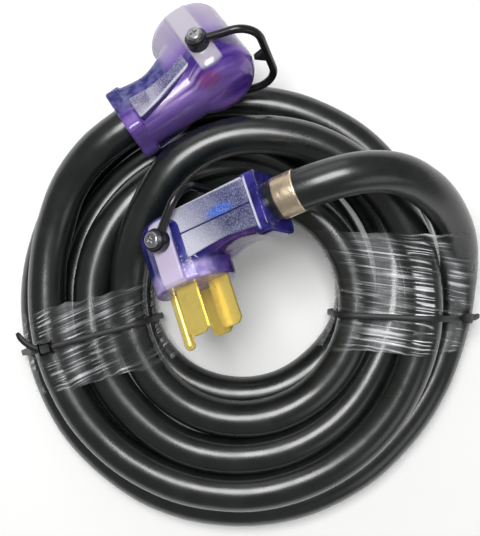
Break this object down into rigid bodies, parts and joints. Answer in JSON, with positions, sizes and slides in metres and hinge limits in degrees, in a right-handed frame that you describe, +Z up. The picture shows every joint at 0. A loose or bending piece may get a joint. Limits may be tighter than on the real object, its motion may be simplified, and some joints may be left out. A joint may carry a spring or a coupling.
{
  "type": "shore power cord",
  "caption": "Coiled heavy shore power cord with a right-angled blade plug and a right-angled connector, each with a swinging bail handle.",
  "frame": {"origin": "middle of the base of the whole object's bounding box, on the surface that it lies on", "axes": "+Z up, +X to the right and +Y up the picture, so the connector lies towards +Y"},
  "size_m": [0.2968, 0.3156, 0.1254],
  "materials": {
    "cord_jacket": "satin black jacket",
    "foil": "bright foil, bare",
    "stretch_film": "clear wrinkled film",
    "tie_nylon": "matte black",
    "plug_body": "translucent indigo, frosted side panels",
    "connector_body": "translucent violet, frosted side panels",
    "carrier": "moulded carrier",
    "contact_brass": "bright",
    "barrel_metal": "tinned",
    "wire_red": "satin",
    "wire_black": "satin",
    "wire_white": "satin",
    "wire_green": "satin",
    "lamp_lens": "clear lens",
    "screw_steel": "bright",
    "bail_plastic": "gloss black"
  },
  "bodies": {
    "cord_set": {"cord_coil": "cord_jacket", "plug_lead": "cord_jacket", "connector_lead": "cord_jacket", "foil_band": "foil", "left_film_wrap": "stretch_film", "right_film_wrap": "stretch_film", "left_cable_tie": "tie_nylon", "right_cable_tie": "tie_nylon", "plug_shell": "plug_body", "plug_core": "carrier", "plug_crimp_barrels": "barrel_metal", "plug_wire_red": "wire_red", "plug_wire_black": "wire_black", "plug_wire_white": "wire_white", "plug_wire_green": "wire_green", "plug_indicator_lamp": "lamp_lens", "plug_bail_screws": "screw_steel", "plug_bail_washers": "screw_steel", "plug_screw_inserts": "contact_brass", "connector_shell": "connector_body", "connector_core": "carrier", "connector_crimp_barrels": "barrel_metal", "connector_wire_red": "wire_red", "connector_wire_black": "wire_black", "connector_wire_white": "wire_white", "connector_wire_green": "wire_green", "connector_indicator_lamp": "lamp_lens", "connector_bail_screws": "screw_steel", "connector_bail_washers": "screw_steel", "connector_screw_inserts": "contact_brass", "plug_line_blade_a": "contact_brass", "plug_line_blade_b": "contact_brass", "plug_neutral_blade": "contact_brass", "plug_ground_pin": "contact_brass", "connector_line_contact_a": "contact_brass", "connector_line_contact_b": "contact_brass", "connector_neutral_contact": "contact_brass", "connector_ground_socket": "contact_brass"},
    "plug_bail": {"plug_bail": "bail_plastic"},
    "connector_bail": {"connector_bail": "bail_plastic"}
  },
  "joints": [
    {"name": "plug_bail_swing", "type": "hinge", "parent": "cord_set", "child": "plug_bail", "pos_m": [-0.04053, 0.01352, 0.078], "axis": [-0.4792, 0.0634, 0.8754], "range_deg": [0, 32]},
    {"name": "connector_bail_swing", "type": "hinge", "parent": "cord_set", "child": "connector_bail", "pos_m": [-0.02523, 0.11762, 0.059], "axis": [-0.2789, 0.415, 0.866], "range_deg": [-42, 38]}
  ]
}
